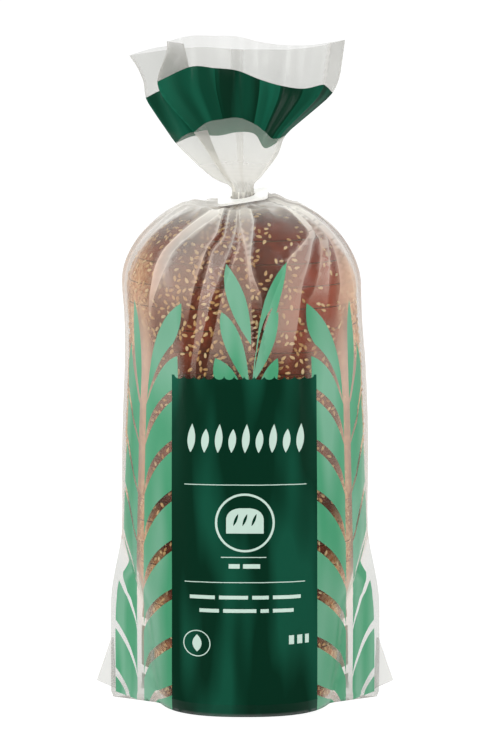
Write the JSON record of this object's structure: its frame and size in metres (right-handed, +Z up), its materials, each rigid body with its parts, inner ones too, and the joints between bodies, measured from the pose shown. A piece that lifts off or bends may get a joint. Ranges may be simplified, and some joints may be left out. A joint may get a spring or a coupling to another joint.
{
  "type": "loaf in bread bag",
  "caption": "Sliced seeded loaf standing on end in a clear printed film bag that is gathered at the neck, held by a flat plastic tag and fanned out above it.",
  "frame": {"origin": "on the floor at the middle of the flat end that the bag stands on", "axes": "+Z up along the loaf to the fan, +X to the right of the printed front, the printed front faces -Y"},
  "size_m": [0.144, 0.0874, 0.3275],
  "materials": {
    "printed_film": "glossy clear film with print, crust showing through",
    "tag_plastic": "satin"
  },
  "bodies": {
    "root": {"bread_bag": "printed_film", "closure_tag": "tag_plastic"}
  },
  "joints": []
}
